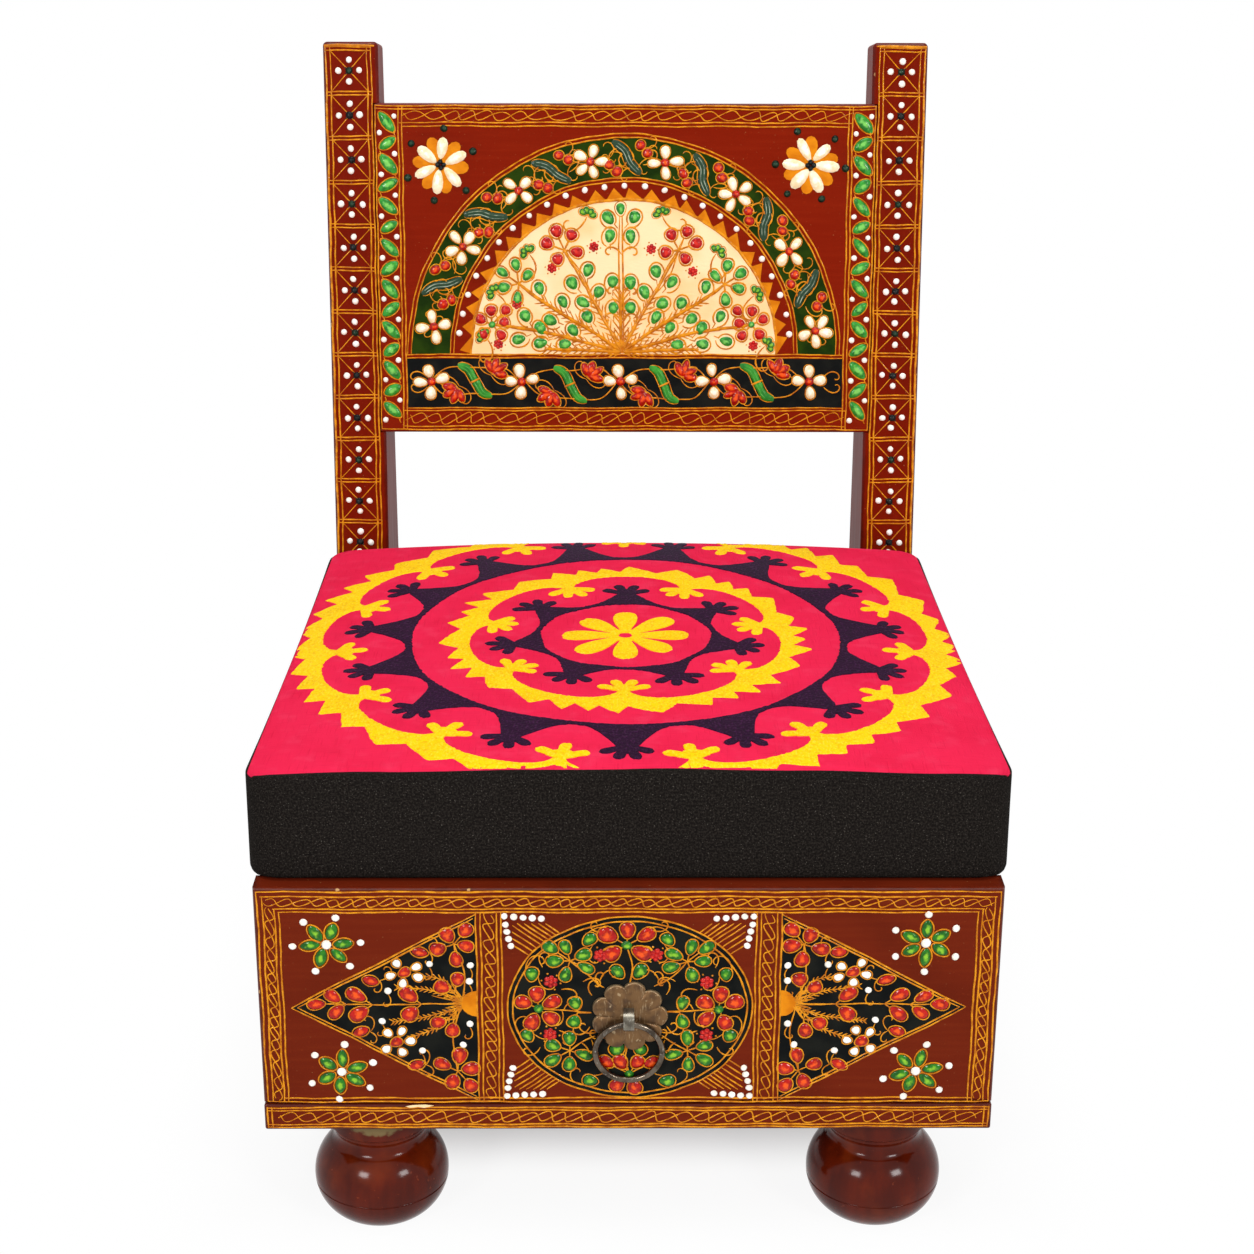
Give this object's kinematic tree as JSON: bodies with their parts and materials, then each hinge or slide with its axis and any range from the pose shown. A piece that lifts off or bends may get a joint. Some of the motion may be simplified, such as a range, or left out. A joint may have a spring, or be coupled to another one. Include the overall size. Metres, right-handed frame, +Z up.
{
  "type": "low chair with drawer",
  "caption": "Low chair on turned feet: a painted seat box with a sliding drawer and ring pull, raked back posts with a painted backrest panel, and a loose embroidered cushion.",
  "frame": {"origin": "floor level, at the middle of the chair's width and depth", "axes": "+Z up, -Y towards the drawer front and the sitter's feet, +X to the right of someone facing the drawer"},
  "size_m": [0.495, 0.5886, 0.7315],
  "materials": {
    "painted_wood": "lacquered paint",
    "turned_wood": "glossy lacquer",
    "bare_wood": "bare",
    "aged_brass": "aged",
    "steel": "worn",
    "cushion_cloth": "woven",
    "foam": "open cell"
  },
  "bodies": {
    "chair": {"base_board": "painted_wood", "left_side_panel": "painted_wood", "right_side_panel": "painted_wood", "back_board": "painted_wood", "seat_board": "painted_wood", "front_rail": "bare_wood", "left_post": "painted_wood", "right_post": "painted_wood", "backrest_panel": "painted_wood", "foot_front_left": "turned_wood", "foot_front_right": "turned_wood", "foot_rear_left": "turned_wood", "foot_rear_right": "turned_wood", "left_runner": "bare_wood", "right_runner": "bare_wood", "base_screws": "steel", "post_screws": "steel", "side_dowels": "bare_wood", "panel_dowels": "bare_wood", "seat_nails": "steel", "back_nails": "steel", "runner_pins": "steel"},
    "drawer": {"drawer_front": "painted_wood", "drawer_left_side": "bare_wood", "drawer_right_side": "bare_wood", "drawer_back": "bare_wood", "drawer_bottom": "bare_wood", "drawer_dowels": "bare_wood", "drawer_nails": "steel", "pull_rosette": "aged_brass", "ring_staple": "steel"},
    "ring": {"pull_ring": "steel"},
    "cushion": {"cushion_cover": "cushion_cloth", "cushion_foam": "foam"}
  },
  "joints": [
    {"name": "drawer_slide", "type": "slide", "parent": "chair", "child": "drawer", "axis": [0, -1, 0], "range_m": [0, 0.32]},
    {"name": "ring_swing", "type": "hinge", "parent": "drawer", "child": "ring", "pos_m": [0, -0.28725, 0.16858], "axis": [-1, 0, 0], "range_deg": [0, 160]},
    {"name": "cushion_lift", "type": "slide", "parent": "chair", "child": "cushion", "axis": [0, 0, 1], "range_m": [0, 0.48]}
  ]
}
